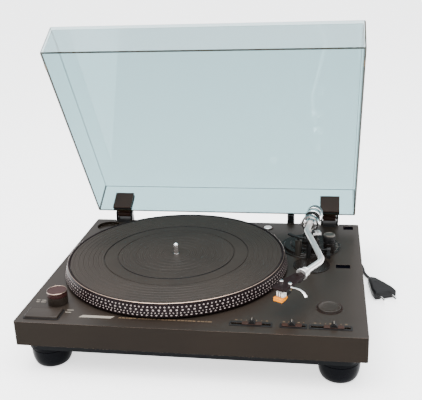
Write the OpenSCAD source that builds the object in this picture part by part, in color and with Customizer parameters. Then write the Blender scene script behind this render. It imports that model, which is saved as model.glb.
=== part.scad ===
// Belt-driven record player with an S-shaped tonearm and a hinged clear dust cover.
// Frame: +X right, +Y back, +Z up. The origin is on the floor, under the middle of the outline
// that the player has with its dust cover open. "Deck" places are measured from the middle of
// the plinth's top face.

/* [Plinth] */
// Width of the plinth
plinth_w = 450; // [446:1:460]
// Depth of the plinth
plinth_d = 366; // [362:1:372]
// Height of the top casing's skirt
skirt_h = 34; // [33:1:38]
// How far the base tray drops below the skirt
tray_drop = 8; // [6:1:12]
// Height of a foot
foot_h = 33; // [24:1:40]
// Wall thickness of the casing
wall = 3; // [2.5:0.5:3]
// Greatest radius of a foot
foot_r = 27; // [20:1:28]

/* [Platter] */
// Radius of the platter at its bright lip
platter_r = 159; // [157:0.5:160]
// Height of the lip above the deck
lip_h = 21; // [20.8:0.1:21.2]
// Thickness of the rubber mat
mat_t = 2.6; // [2:0.2:2.8]
// Radius of the record spindle
spindle_r = 3.6; // [3.55:0.01:3.62]
// Height of the spindle's tip above the deck
spindle_h = 37; // [36:0.5:38]
// Radius of the belt ring under the platter
belt_ring_r = 90; // [85:1:95]
// Distance from the spindle to the motor shaft
motor_reach = 125; // [120:1:130]

/* [Tonearm] */
// Height of the arm tube's axis above the deck
arm_h = 39; // [38.5:0.5:40]
// Radius of the arm tube
tube_r = 4.2; // [3.8:0.1:4.2]
// Angle of the rear stub to the plinth's side
stub_angle = 8; // [6:0.5:10]
// Angle of the headshell to the plinth's side
head_angle = 29.8; // [29:0.1:31]
// Radius of the counterweight
weight_r = 13; // [12.6:0.1:13]

/* [Dust cover] */
// Width of the cover
cover_w = 438; // [436:1:440]
// Depth of the cover
cover_d = 350; // [348:1:351]
// Height of the cover
cover_h = 55.5; // [55:0.5:58]
// Thickness of the clear sheet
cover_t = 3; // [2:0.5:3]
// Angle at which the cover stands open
cover_angle = 58.6; // [50:0.1:65]

/* [Mains cord] */
// Diameter of the round mains cord
cord_d = 5.5; // [5:0.1:6]

/* [Hidden] */
$fn = 64;
deck_z = foot_h + tray_drop + skirt_h;
plinth_y = -20;                       // middle of the plinth in the part's frame
corner_r = 2.5;                       // plan radius of the casing's corners
cover_corner = 2.5;                   // plan radius of the cover's corners
spindle_at = [-46, 2];                // deck places, [x, y]
motor_at = spindle_at + motor_reach * [cos(150), sin(150)];
arm_at = [148, 87];
tower_at = [-184, -127];
start_at = [-191.5, -160];
start_size = [45, 24];
stop_at = [178, -111];
stop_r = 15;
slider_y = -162;
slider_windows = [[81, 54, 50], [134, 34, 30], [179.5, 53, 49]];       // middle, length, slot
slider_knobs = [82.5, 132, 183.5];
adapter_at = [-196, 152];
light_at = [76.5, 159];
light_r = 6.7;
holder_at = [113, 190];
skate_at = [177, 66];
insert_places = [[208, 167, 16, 14], [197.5, 17, 21, 12]];             // x, y, width, depth
foot_at = [191, 147];
case_screw_x = 217;
case_screw_ys = [-120, 20, 172];
well_r = 151;
well_depth = 6;
bearing_r = 4;                        // platter shaft inside its sleeve
fit = 0.06;                           // radial running clearance of a shaft in its bore
gap = 0.3;                            // clearance between pieces that only pass each other
belt_h = 5;
belt_t = 0.8;
pulley_r = 5;
plate_top = 18;                       // platter face under the mat, above the deck
mat_top = plate_top + mat_t;
hinge_x = 177.5;
hinge_at = [190, 9];                  // hinge axis: deck y and z
hinge_pin_r = 2;
cover_rim_z = 1.3;                    // closed cover's rim above the deck
cover_y = -2;                         // middle of the closed cover
tray_w = plinth_w - 26;
tray_d = plinth_d - 7;
tray_floor = -skirt_h - tray_drop;
pillar_top = 22;
lift_reach = 38;                      // radius of the cueing arc about the arm's pivot
lift_at = arm_at + lift_reach * [-sin(26), -cos(26)];
rest_at = [146.9, 42];
rest_turn = 12.7;
stylus_at = [118, -136];
collar_y = [46, 58];                  // locking collar, measured back from the stylus
tail_at = [150, 183, -20];            // where the mains cord leaves the plinth
relief_len = 28;
coil_at = [108, 262];
coil_r = 31.5;                        // mean radius of the coil
coil_band = 23.6;                     // width of its band of turns
coil_rows = 2;
plug_at = [243.7, 119.5];             // where the cord enters the plug
plug_turn = 20.4;
plug_len = 58;
plug_h = 14;

charcoal = [0.16, 0.15, 0.15];
black = [0.05, 0.05, 0.06];
chrome = [0.85, 0.85, 0.86];
silver = [0.75, 0.75, 0.76];

// The arm tube's centre line on the deck: the pivot, two bends and the headshell joint.
arm_dir = [-sin(stub_angle), -cos(stub_angle)];
head_dir = [-sin(head_angle), -cos(head_angle)];
tube_corners = [arm_at + 6.5 * arm_dir, [143.7, 56.2], [167.6, -49.4],
                stylus_at - collar_y[0] * head_dir];
tube_bends = [30, 30];

// Route of the free mains cord in deck places: out of the rear and down to the coil, then from
// the coil round the plinth's rear corner to the plug. It lies cord_d / 2 above the floor.
lie = cord_d / 2 - deck_z;
top_row = lie + (coil_rows - 1) * cord_d;
tail_route = [[150, 211, -20], [150, 217, -20.5], [150, 224, -24], [150, 230, -31],
              [149.8, 235, -40], [149.5, 241, -49], [149.2, 248, -56.5],
              [148.9, 255, -61.4], [148.7, 262, top_row]];
lead_route = [[79.2, 233.2, lie], [89, 223.6, lie], [100, 215.5, lie], [114, 210, lie],
              [130, 207.4, lie], [148, 206.5, lie], [166, 206.5, lie], [184, 206.5, lie],
              [200, 205.5, lie], [214, 201, lie], [225, 192.5, lie], [231.5, 181, lie],
              [234, 168, lie], [235, 155, lie], [237, 143, lie + 0.6], [240, 131, lie + 2.4],
              [243.7, 119.5, -68]];

// ---- helpers ----

// Places children at a deck position [x, y, z].
module deck(p) {
    translate([p[0], plinth_y + p[1], deck_z + p[2]]) children();
}

module round_rect(w, d, r) {
    square([w - 2 * r, d], center = true);
    square([w, d - 2 * r], center = true);
    for (sx = [-1, 1], sy = [-1, 1]) {
        translate([sx * (w / 2 - r), sy * (d / 2 - r)]) circle(r);
    }
}

module slab(w, d, r, h) {
    linear_extrude(h) round_rect(w, d, r);
}

module tube(r_out, r_in, h) {
    difference() {
        cylinder(r = r_out, h = h);
        translate([0, 0, -1]) cylinder(r = r_in, h = h + 2);
    }
}

// A frame at the arm's pivot: -Y points along the tube towards the headshell.
module arm_frame() {
    deck([arm_at[0], arm_at[1], arm_h]) rotate([0, 0, -stub_angle]) children();
}

// A frame above the stylus on the tube's axis: -Y points out of the headshell's front.
module head_frame() {
    deck([stylus_at[0], stylus_at[1], arm_h]) rotate([0, 0, -head_angle]) children();
}

// Cylinder along Y from y0 to y1.
module bar_y(r, y0, y1) {
    translate([0, y0, 0]) rotate([-90, 0, 0]) cylinder(r = r, h = y1 - y0);
}

// Cylinder along X from x0 to x1.
module bar_x(r, x0, x1) {
    translate([x0, 0, 0]) rotate([0, 90, 0]) cylinder(r = r, h = x1 - x0);
}

// The closed cover's frame turned open about the hinge.
module cover_frame() {
    deck([0, hinge_at[0], hinge_at[1]]) rotate([-cover_angle, 0, 0])
        translate([0, -hinge_at[0], -hinge_at[1]]) children();
}

function unit(v) = v / norm(v);

// Arc that rounds corner c between points a and b with radius r, as steps + 1 points.
function bend(a, c, b, r, steps) =
    let (u = unit(c - a), v = unit(b - c), turn = acos(u * v), t = r * tan(turn / 2),
         n = unit(v - (v * u) * u), start = c - t * u, middle = start + r * n)
    [for (i = [0:steps]) middle - r * cos(turn * i / steps) * n + r * sin(turn * i / steps) * u];

// A tangent at each point of a route.
function tangents(p) = [for (i = [0:len(p) - 1])
    unit(p[min(i + 1, len(p) - 1)] - p[max(i - 1, 0)])];

// Normals carried along the tangents without twist.
function carry(n, t, i) = i == len(t) ? [] :
    let (m = unit(n - (n * t[i]) * t[i])) concat([m], carry(m, t, i + 1));

// A smooth curve through a route's points, cut into steps pieces between each two.
function smooth(p, steps) = concat([for (i = [0:len(p) - 2], k = [0:steps - 1])
    let (s = k / steps, a = p[i], b = p[i + 1], ta = (b - p[max(i - 1, 0)]) / (i > 0 ? 2 : 1),
         tb = (p[min(i + 2, len(p) - 1)] - a) / (i < len(p) - 2 ? 2 : 1))
    (2 * pow(s, 3) - 3 * pow(s, 2) + 1) * a + (pow(s, 3) - 2 * pow(s, 2) + s) * ta
        + (3 * pow(s, 2) - 2 * pow(s, 3)) * b + (pow(s, 3) - pow(s, 2)) * tb],
    [p[len(p) - 1]]);

// Round rod swept along a list of 3-D points.
module swept_rod(path, r, sides, up) {
    t = tangents(path);
    n = carry(up, t, 0);
    rings = len(path);
    points = [for (i = [0:rings - 1], k = [0:sides - 1])
        path[i] + r * cos(360 * k / sides) * n[i]
            + r * sin(360 * k / sides) * cross(t[i], n[i])];
    walls = [for (i = [0:rings - 2], k = [0:sides - 1])
        [i * sides + k, i * sides + (k + 1) % sides, (i + 1) * sides + (k + 1) % sides,
         (i + 1) * sides + k]];
    ends = [[for (k = [0:sides - 1]) k],
            [for (k = [sides - 1:-1:0]) (rings - 1) * sides + k]];
    polyhedron(points = points, faces = concat(ends, [for (f = walls) [f[3], f[2], f[1], f[0]]]),
               convexity = 6);
}

module screw(r, length, head_r, head_h) {
    translate([0, 0, -length]) cylinder(r = r, h = length);
    cylinder(r = head_r, h = head_h);
}

// ---- plinth ----

module top_chassis() {
    color(charcoal) deck([0, 0, 0]) difference() {
        union() {
            difference() {
                translate([0, 0, -skirt_h]) slab(plinth_w, plinth_d, corner_r, skirt_h);
                translate([0, 0, -skirt_h - 1])
                    slab(plinth_w - 2 * wall, plinth_d - 2 * wall, 1, skirt_h + 1 - wall);
            }
            translate([spindle_at[0], spindle_at[1], -well_depth - wall])
                cylinder(r = well_r + wall, h = well_depth + wall - 0.5);
            translate([adapter_at[0], adapter_at[1], -7]) cylinder(r = 21.5, h = 6);
            translate([light_at[0], light_at[1], -30]) cylinder(r = light_r + 2, h = 29);
            for (sx = [-1, 1]) {
                translate([sx * hinge_x - 14, 168, -27]) cube([28, 13, 26]);
                for (y = case_screw_ys) translate([sx * case_screw_x, y, -31])
                    cylinder(r = 4, h = 30);
            }
        }
        translate([spindle_at[0], spindle_at[1], -well_depth]) cylinder(r = well_r, h = 20);
        translate([spindle_at[0], spindle_at[1], -20]) cylinder(r = 10.3, h = 20);
        for (k = [0:2]) translate([spindle_at[0], spindle_at[1], -20])
            rotate([0, 0, 120 * k]) translate([20, 0, 0]) cylinder(r = 1.6, h = 20);
        translate([motor_at[0], motor_at[1], -20]) cylinder(r = 7.5, h = 20);
        for (s = [-1, 1]) translate([motor_at[0] + 13 * s, motor_at[1], -20])
            cylinder(r = 1.6, h = 20);
        translate([adapter_at[0], adapter_at[1], -5]) cylinder(r = 19.5, h = 10);
        translate([light_at[0], light_at[1], -28.5]) cylinder(r = light_r + fit, h = 40);
        translate([tower_at[0], tower_at[1], -10]) cylinder(r = 10, h = 20);
        translate([arm_at[0], arm_at[1], -10]) cylinder(r = 11.3, h = 20);
        translate([stop_at[0], stop_at[1], -10]) cylinder(r = stop_r + 0.4, h = 20);
        translate([start_at[0], start_at[1], -10])
            slab(start_size[0] + 0.8, start_size[1] + 0.8, 2.4, 20);
        for (w = slider_windows) translate([w[0] - w[2] / 2, slider_y - 2.5, -10])
            cube([w[2], 5, 20]);
        for (p = insert_places) translate([p[0] - p[2] / 2, p[1] - p[3] / 2, -0.8])
            cube([p[2], p[3], 5]);
        for (sx = [-1, 1]) {
            translate([sx * hinge_x - 11.4, 170.6, -24.4]) cube([22.8, 30, 40]);
            translate([sx * hinge_x - 14.8, 183.6 - wall - 1, -24.4])
                cube([29.6, 30, 40]);
            for (y = case_screw_ys) translate([sx * case_screw_x, y, -40])
                cylinder(r = 1.55, h = 16);
        }
        translate([48, 170, -25]) cube([56, 30, 14]);
        translate(tail_at - [0, 10, 0]) bar_y(5.2, 0, 30);
    }
}

module base_tray() {
    color(charcoal) deck([0, 0, 0]) difference() {
        union() {
            translate([0, 0, -skirt_h]) slab(plinth_w - 2 * wall - 0.6,
                                             plinth_d - 2 * wall - 0.6, 2.6, 3);
            translate([0, 0, tray_floor]) slab(tray_w, tray_d, 14, tray_drop + 0.5);
            for (x = [62, 178], y = [-166, -114]) translate([x, y, tray_floor + 1])
                cylinder(r = 3, h = 11);
        }
        difference() {
            translate([0, 0, tray_floor + wall])
                slab(tray_w - 2 * wall, tray_d - 2 * wall, 11, tray_drop + 10);
            for (x = [62, 178], y = [-166, -114]) translate([x, y, tray_floor])
                cylinder(r = 3, h = 12);
            for (sx = [-1, 1], sy = [-1, 1]) translate([sx * foot_at[0], sy * foot_at[1],
                                                        tray_floor]) cylinder(r = 7, h = 9);
        }
        for (sx = [-1, 1], sy = [-1, 1]) translate([sx * foot_at[0], sy * foot_at[1],
                                                    tray_floor - 1])
            cylinder(r = 2.1, h = 12);
        for (sx = [-1, 1], y = case_screw_ys) translate([sx * case_screw_x, y, -40])
            cylinder(r = 1.7, h = 12);
        for (k = [-7:7]) translate([-60 + 12 * k, -120, tray_floor - 1]) cube([3.4, 44, 8]);
    }
}

module foot() {
    r = foot_r;
    b = 0.73 * foot_r;
    difference() {
        rotate_extrude() polygon(concat(
            [[0, 0], [b, 0]],
            [for (i = [1:6]) [b + (r - b) * sin(15 * i), 0.62 * foot_h * (1 - cos(15 * i))]],
            [[r, foot_h - 3], [r - 2, foot_h], [0, foot_h]]));
        translate([0, 0, -1]) cylinder(r = 6, h = foot_h - 7);
        cylinder(r = 2.2, h = foot_h + 1);
    }
}

module feet() {
    color(black) for (sx = [-1, 1], sy = [-1, 1])
        translate([sx * foot_at[0], plinth_y + sy * foot_at[1], 0]) foot();
}

module foot_screws() {
    color(silver) for (sx = [-1, 1], sy = [-1, 1])
        translate([sx * foot_at[0], plinth_y + sy * foot_at[1], foot_h - 8])
            mirror([0, 0, 1]) screw(2, 16, 4, 3);
}

module case_screws() {
    color(silver) deck([0, 0, 0]) {
        for (sx = [-1, 1], y = case_screw_ys) translate([sx * case_screw_x, y, -skirt_h])
            mirror([0, 0, 1]) screw(1.5, 8, 2.8, 1.8);
        for (k = [0:2]) translate([spindle_at[0], spindle_at[1], 3 - well_depth])
            rotate([0, 0, 120 * k]) translate([20, 0, 0]) screw(1.5, 8, 2.8, 1.8);
        for (s = [-1, 1]) translate([motor_at[0] + 13 * s, motor_at[1], -well_depth])
            screw(1.5, 8, 2.8, 1.8);
    }
}

// ---- electrics ----

module circuit_board() {
    color([0.1, 0.35, 0.2]) deck([120, -140, -30]) {
        translate([-64, -32, 0]) cube([128, 64, 1.6]);
        for (p = [[-46, 10], [-28, 12], [30, 14]]) translate([p[0], p[1], 1.6])
            cylinder(r = 5, h = 9);
        translate([-10, -4, 1.6]) cube([24, 12, 4]);
        translate([38, -24, 1.6]) cube([18, 14, 7]);
        translate([-58, -26, 1.6]) cube([14, 18, 8]);
    }
}

module control_switches() {
    color(black) {
        for (w = slider_windows) deck([w[0], slider_y, -13.5])
            translate([-w[1] / 2, -4, 0]) cube([w[1], 8, 7]);
        deck([start_at[0], start_at[1], -26]) translate([-8, -6, 0]) cube([16, 12, 10.6]);
        deck([stop_at[0], stop_at[1], -20.1]) translate([-8, -6, 0]) cube([16, 12, 4.7]);
        deck([tower_at[0], tower_at[1], -24]) translate([-9, -8, 0]) cube([18, 16, 13]);
    }
}

module power_transformer() {
    color([0.45, 0.42, 0.38]) deck([-150, 120, tray_floor + wall]) {
        translate([-16, -27, 0]) cube([32, 54, 26]);
        translate([-23, -18, 3]) cube([46, 36, 20]);
    }
}

module motor_can() {
    color(silver) deck([motor_at[0], motor_at[1], 0]) difference() {
        union() {
            translate([0, 0, -33]) cylinder(r = 18, h = 33 - well_depth - wall);
            translate([0, 0, -10]) cylinder(r = 6, h = 2.5);
        }
        translate([0, 0, -31.5]) cylinder(r = 1 + fit, h = 30);
        for (s = [-1, 1]) translate([13 * s, 0, -15]) cylinder(r = 1.55, h = 10);
    }
}

module motor_pulley() {
    color([0.8, 0.66, 0.3]) deck([motor_at[0], motor_at[1], 0]) {
        translate([0, 0, -31.2]) cylinder(r = 1, h = 27.2);
        rotate_extrude() polygon([[0, -5], [6.6, -5], [6.6, -3.8], [pulley_r, -3.4],
                                  [pulley_r, 3.4], [6.6, 3.8], [6.6, 5], [0, 5]]);
    }
}

module drive_belt() {
    inner = pulley_r + 0.4;
    ring = belt_ring_r + 0.4;
    color(black) deck([0, 0, -belt_h / 2]) linear_extrude(belt_h) difference() {
        hull() {
            translate(spindle_at) circle(ring + belt_t, $fn = 120);
            translate(motor_at) circle(inner + belt_t, $fn = 60);
        }
        hull() {
            translate(spindle_at) circle(ring, $fn = 120);
            translate(motor_at) circle(inner, $fn = 60);
        }
    }
}

// ---- platter ----

module bearing_housing() {
    color(silver) deck([spindle_at[0], spindle_at[1], 0]) difference() {
        union() {
            translate([0, 0, -36]) cylinder(r = 10, h = 38);
            translate([0, 0, -well_depth]) cylinder(r = 26, h = 3);
        }
        translate([0, 0, -34]) cylinder(r = bearing_r + fit, h = 40);
        for (k = [0:2]) rotate([0, 0, 120 * k]) translate([20, 0, -10])
            cylinder(r = 1.6, h = 10);
    }
}

module platter() {
    flare = platter_r + 4.5;
    color([0.25, 0.24, 0.24]) deck([spindle_at[0], spindle_at[1], 0])
        rotate_extrude($fn = 180) polygon([
            [bearing_r + 0.02, 3], [13, 3], [13, 13], [belt_ring_r - 4, 13],
            [belt_ring_r - 4, -4], [belt_ring_r, -4], [belt_ring_r, 13], [platter_r - 6, 13],
            [flare - 3.5, 2.5], [flare, 2.5], [flare, 4], [platter_r + 0.3, lip_h - 1],
            [platter_r, lip_h], [platter_r - 3, lip_h], [platter_r - 3.6, plate_top],
            [bearing_r + 0.02, plate_top]]);
}

module platter_mat() {
    edge = platter_r - 3.8;
    color([0.2, 0.18, 0.17]) deck([spindle_at[0], spindle_at[1], 0])
        rotate_extrude($fn = 180) polygon([
            [4.4, plate_top], [edge, plate_top], [edge, mat_top - 0.6], [edge - 0.6, mat_top],
            [113, mat_top], [113, mat_top - 0.8], [91, mat_top - 0.8], [91, mat_top],
            [4.4, mat_top]]);
}

module spindle() {
    tip = spindle_h;
    color(chrome) deck([spindle_at[0], spindle_at[1], 0]) rotate_extrude() polygon([
        [0, -33.6], [1.5, -33.4], [2.8, -32.4], [bearing_r, -30.5], [bearing_r, mat_top - 0.1],
        [spindle_r, mat_top - 0.1], [spindle_r, tip - 4], [3.3, tip - 2.6], [2.5, tip - 1.2],
        [1.3, tip - 0.3], [0, tip]]);
}

// ---- tonearm ----

module tonearm_base() {
    color([0.1, 0.1, 0.1]) difference() {
        union() {
            deck([arm_at[0], arm_at[1], 0]) {
                cylinder(r = 46.5, h = 1.4);
                cylinder(r = 40.3, h = 4.6);
                cylinder(r = 30, h = 7);
                cylinder(r = 14, h = 13);
                translate([0, 0, -8]) cylinder(r = 11, h = pillar_top + 8);
            }
            deck([152, 17, 0]) cylinder(r = 27, h = 1.2);
            deck([156, 52, 1]) translate([-5, -3.5, 0]) cube([10, 7, 13]);
            deck([skate_at[0], skate_at[1], 0]) cylinder(r = 8.5, h = 17.4);
        }
        deck([arm_at[0], arm_at[1], 3]) cylinder(r = 3 + fit, h = 30);
        deck([skate_at[0], skate_at[1], 8]) cylinder(r = 2 + fit, h = 12);
        deck([lift_at[0], lift_at[1], -1]) cylinder(r = 5, h = 12);
        deck([0, 52, 10.4]) bar_x(1.8 + fit, 150, 162);
    }
}

module gimbal_yoke() {
    color(chrome) arm_frame() difference() {
        union() {
            difference() {
                bar_y(13, -4, 4);
                bar_y(10.2, -5, 5);
            }
            translate([0, 0, pillar_top - arm_h + 0.4]) cylinder(r = 8, h = 4.8);
            translate([0, 0, 5 - arm_h]) cylinder(r = 3, h = pillar_top - 4);
        }
        bar_x(2, -14, 14);
        bar_y(10.2, -9, 9);
    }
}

module gimbal_screws() {
    color(silver) arm_frame() for (s = [0, 1]) mirror([s, 0, 0]) {
        bar_x(2, 5, 13.4);
        bar_x(3, 13.2, 15.4);
    }
}

module pivot_block() {
    color(chrome) arm_frame() difference() {
        bar_y(7, -6.5, 6.5);
        bar_y(tube_r, -7, 7);
        bar_x(2 + fit, -8, -4.7);
        bar_x(2 + fit, 4.7, 8);
    }
}

module arm_tube() {
    c = tube_corners;
    plan = concat([c[0] - 6.5 * arm_dir, c[0]], bend(c[0], c[1], c[2], tube_bends[0], 6),
                  bend(c[1], c[2], c[3], tube_bends[1], 14),
                  [c[3] + 10 * unit(c[2] - c[3]), c[3]]);
    color(silver) deck([0, 0, 0])
        swept_rod([for (p = plan) [p[0], p[1], arm_h]], tube_r, 24, [0, 0, 1]);
}

module rear_stub() {
    color(silver) arm_frame() {
        bar_y(4.5, 6.5, 64);
        bar_y(tube_r, 0.2, 6.5);
    }
}

module headshell() {
    color(black) head_frame() difference() {
        union() {
            translate([0, 0, -0.5]) linear_extrude(3.5) polygon([
                [-7.2, 44], [7.2, 44], [8.6, 28], [10, 15], [10, -6], [8, -9], [-8, -9],
                [-10, -6], [-10, 15], [-8.6, 28]]);
            translate([-6, 26, -4]) cube([12, 12, 7]);
            bar_y(4, 37, collar_y[0]);
        }
        for (s = [-1, 1]) translate([6.35 * s, 9.5, -2]) cylinder(r = 1.35, h = 8);
        translate([0, 6, 1]) bar_x(1.14, 8.4, 12);
    }
}

module headshell_screws() {
    color(chrome) head_frame() for (s = [-1, 1]) translate([6.35 * s, 9.5, 3])
        screw(1.25, 8, 2.6, 2.2);
}

module cartridge() {
    color([0.9, 0.9, 0.88]) head_frame() difference() {
        union() {
            translate([-9, -2, -3.4]) cube([18, 16, 2.9]);
            translate([-5.2, -5, -11.5]) cube([10.4, 19, 8.2]);
        }
        for (s = [-1, 1]) translate([6.35 * s, 9.5, -8]) cylinder(r = 1.3, h = 8);
    }
}

module stylus() {
    color([0.95, 0.5, 0.12]) head_frame() difference() {
        union() {
            translate([-6.6, -9.5, -16.2]) cube([13.2, 4.3, 5.3]);
            translate([-5, -6, -15.7]) cube([10, 10, 4.2]);
            translate([0, 2, -15.6]) rotate([32, 0, 0]) translate([0, 0, -1.4])
                cylinder(r = 0.5, h = 2.6);
        }
        translate([-4, -12, -18]) cube([8, 5, 4]);
    }
}

module finger_lift() {
    route = [[8.6, 0, 0], [13, 0, 0.2], [18, -0.6, 1], [24, -2, 1.6], [30, -4.2, 1.2],
             [35, -6.8, -0.4], [38, -9, -2.4]];
    color(silver) head_frame() translate([0, 6, 1]) swept_rod(smooth(route, 3), 1.1, 12,
                                                              [0, 0, 1]);
}

module lock_collar() {
    color(silver) head_frame() difference() {
        union() {
            bar_y(8, collar_y[0] + 0.2, collar_y[0] + 3.4);
            bar_y(6.4, collar_y[0] + 3, collar_y[1]);
        }
        bar_y(tube_r + 0.08, collar_y[0] - 1, collar_y[1] + 1);
    }
}

module weight_bush() {
    color(black) arm_frame() difference() {
        bar_y(6, 25, 49);
        bar_y(4.5 + fit, 20, 55);
    }
}

module counterweight() {
    color(chrome) arm_frame() difference() {
        union() {
            bar_y(8, 17, 22.5);
            bar_y(weight_r, 22, 44);
            bar_y(weight_r - 1, 44, 50);
        }
        bar_y(6 + fit, 16, 51);
    }
}

module force_dial() {
    color(black) arm_frame() difference() {
        bar_y(12, 17.2, 21.6);
        bar_y(8 + fit, 16, 23);
    }
}

module anti_skate_knob() {
    color(black) deck([skate_at[0], skate_at[1], 0]) {
        translate([0, 0, 9]) cylinder(r = 2, h = 10);
        translate([0, 0, 17.8]) cylinder(r = 9, h = 10.2);
        translate([0, 0, 28]) cylinder(r = 8.3, h = 2.5);
    }
}

module lift_cylinder() {
    color([0.3, 0.3, 0.3]) deck([lift_at[0], lift_at[1], 0]) difference() {
        cylinder(r = 5, h = 25);
        translate([0, 0, 3]) cylinder(r = 2 + fit, h = 30);
    }
}

module lift_platform() {
    color(black) {
        deck([lift_at[0], lift_at[1], 6]) cylinder(r = 2, h = 22.4);
        deck([arm_at[0], arm_at[1], arm_h - tube_r - 4.4 - 2.6]) rotate([0, 0, 214])
            rotate_extrude(angle = 58) translate([lift_reach - 2.2, 0]) square([4.4, 2.6]);
    }
}

module cue_lever() {
    color(black) deck([0, 52, 10.4]) {
        bar_x(1.8, 137, 179);
        translate([173.6, 0, 0]) {
            bar_x(4.2, 0, 5.6);
            translate([0.8, -18, -2]) cube([4, 18, 4]);
            translate([0.2, -26, -2.6]) cube([5.2, 9, 5.2]);
        }
    }
}

module arm_rest() {
    top = arm_h - tube_r - 0.4;
    color(black) deck([rest_at[0], rest_at[1], 0]) rotate([0, 0, rest_turn]) {
        translate([0, 0, 1.4]) cylinder(r = 3.6, h = top - 4.4);
        translate([0, 0, top - 6]) difference() {
            union() {
                translate([-6, -4, 0]) cube([15, 8, 6]);
                translate([5.2, -4, 0]) cube([3.8, 8, 15]);
            }
            translate([0, -5, 16]) bar_x(1.2 + fit, 0, 1);
            translate([7.1, 0, 12.4]) bar_y(1.2, -5, 5);
        }
    }
}

// The clip that holds the tube down, shown laid open to the right.
module arm_clip() {
    top = arm_h - tube_r - 0.4;
    color(silver) deck([rest_at[0], rest_at[1], 0]) rotate([0, 0, rest_turn])
        translate([7.1, 0, top + 6.4]) {
            bar_y(1.2 - fit, -5.6, 5.6);
            for (s = [0, 1]) mirror([0, s, 0]) translate([-1.6, 4.4, -1.6])
                cube([12, 1.2, 3.2]);
            translate([7.4, -5.6, -1.6]) cube([3, 11.2, 3.2]);
        }
}

// ---- controls ----

module strobe_tower() {
    color(charcoal) deck([tower_at[0], tower_at[1], 0]) difference() {
        union() {
            cylinder(r = 13.5, h = 11);
            translate([0, 0, -9]) cylinder(r = 9.8, h = 10);
        }
        translate([0, 0, -10]) cylinder(r = 3 + fit, h = 30);
        rotate([0, 0, 43]) translate([4.5, -4.5, 3.4]) cube([14, 9, 5.6]);
    }
}

module strobe_lamp() {
    color([0.9, 0.15, 0.1]) deck([tower_at[0], tower_at[1], 0]) rotate([0, 0, 43])
        translate([4.5, -4.3, 3.4]) cube([8, 8.6, 5.4]);
}

module power_knob() {
    color(charcoal) deck([tower_at[0], tower_at[1], 0]) {
        translate([0, 0, -10.5]) cylinder(r = 3, h = 22.5);
        translate([0, 0, 11.4]) cylinder(r = 13.5, h = 7);
        translate([0, 0, 18.4]) tube(13.6, 11.6, 1.1);
    }
}

module control_bezels() {
    color(black) {
        deck([start_at[0], start_at[1], 0]) difference() {
            slab(start_size[0] + 4, start_size[1] + 4, 3, 0.8);
            translate([0, 0, -1]) slab(start_size[0] + 1, start_size[1] + 1, 2.5, 3);
        }
        deck([stop_at[0], stop_at[1], 0]) tube(stop_r + 2.2, stop_r + 0.5, 1);
        for (w = slider_windows) deck([w[0], slider_y, 0]) difference() {
            slab(w[1], 11, 1.5, 0.8);
            translate([-w[2] / 2, -2.5, -1]) cube([w[2], 5, 3]);
        }
    }
}

module start_button() {
    color(charcoal) deck([start_at[0], start_at[1], 0]) {
        translate([0, 0, -4]) slab(start_size[0], start_size[1], 2, 7.5);
        translate([-5, -3, -13]) cube([10, 6, 9.5]);
    }
}

module stop_button() {
    color(charcoal) deck([stop_at[0], stop_at[1], 0]) {
        translate([0, 0, -4]) cylinder(r = stop_r, h = 6.6);
        translate([-4, -3, -13]) cube([8, 6, 9.5]);
    }
}

// A slider: a flat carriage, a ridged knob on it, and the stem that goes through the slot.
module slider_knob(x) {
    color(black) deck([x, slider_y, 0]) {
        translate([0, 3.6, 0]) rotate([90, 0, 0]) linear_extrude(7.2) polygon([
            [-12.5, 1.1], [12.5, 1.1], [12.5, 2.1], [4.6, 2.1], [4, 4], [0.8, 8], [-0.8, 8],
            [-4, 4], [-4.6, 2.1], [-12.5, 2.1]]);
        translate([-1.5, -1.4, -6]) cube([3, 2.8, 7.4]);
    }
}

module pitch_slider_33() {
    slider_knob(slider_knobs[0]);
}

module speed_slider() {
    slider_knob(slider_knobs[1]);
}

module pitch_slider_45() {
    slider_knob(slider_knobs[2]);
}

module stylus_light() {
    color(silver) deck([light_at[0], light_at[1], -28]) difference() {
        cylinder(r = light_r, h = 30);
        translate([-3, -8, 20]) cube([6, 4, 6]);
    }
}

// ---- rear of the plinth ----

module headshell_holder() {
    color(black) deck([holder_at[0], holder_at[1], 0]) difference() {
        union() {
            translate([0, 0, -6]) cylinder(r = 6, h = 19);
            translate([-6, 183 - holder_at[1], -16]) cube([12, 3, 20]);
            translate([-6, 183 - holder_at[1], -6]) cube([12, 7, 6]);
        }
        cylinder(r = 4.05, h = 20);
    }
}

module rear_panel() {
    color(black) deck([80, 183, -26]) difference() {
        translate([-35, 0, 0]) cube([61, 1.6, 16]);
        for (x = [-18, 0]) translate([x, -1, 8]) bar_y(3, 0, 4);
        translate([20, -1, 8]) bar_y(2, 0, 4);
    }
}

module phono_jacks() {
    color([0.85, 0.7, 0.35]) for (x = [62, 80]) deck([x, 183, -18]) difference() {
        union() {
            bar_y(3, -8, 2);
            bar_y(5.4, 1.6, 3.4);
            bar_y(4.15, 3.2, 11.2);
        }
        bar_y(1.6, 3.6, 12);
    }
}

module ground_terminal() {
    color(silver) deck([100, 183, -18]) {
        bar_y(2, -6, 12);
        bar_y(4.5, 2.2, 5);
    }
}

module cord_relief() {
    color(black) deck(tail_at) rotate([-90, 0, 0]) rotate_extrude() polygon([
        [0, -5], [7, -5], [7, -3.2], [5, -3.2], [5, 0], [7, 0], [7, 2], [5, 2.2],
        [cord_d / 2 + 0.6, relief_len], [0, relief_len]]);
}

// ---- dust cover and hinges ----

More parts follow.
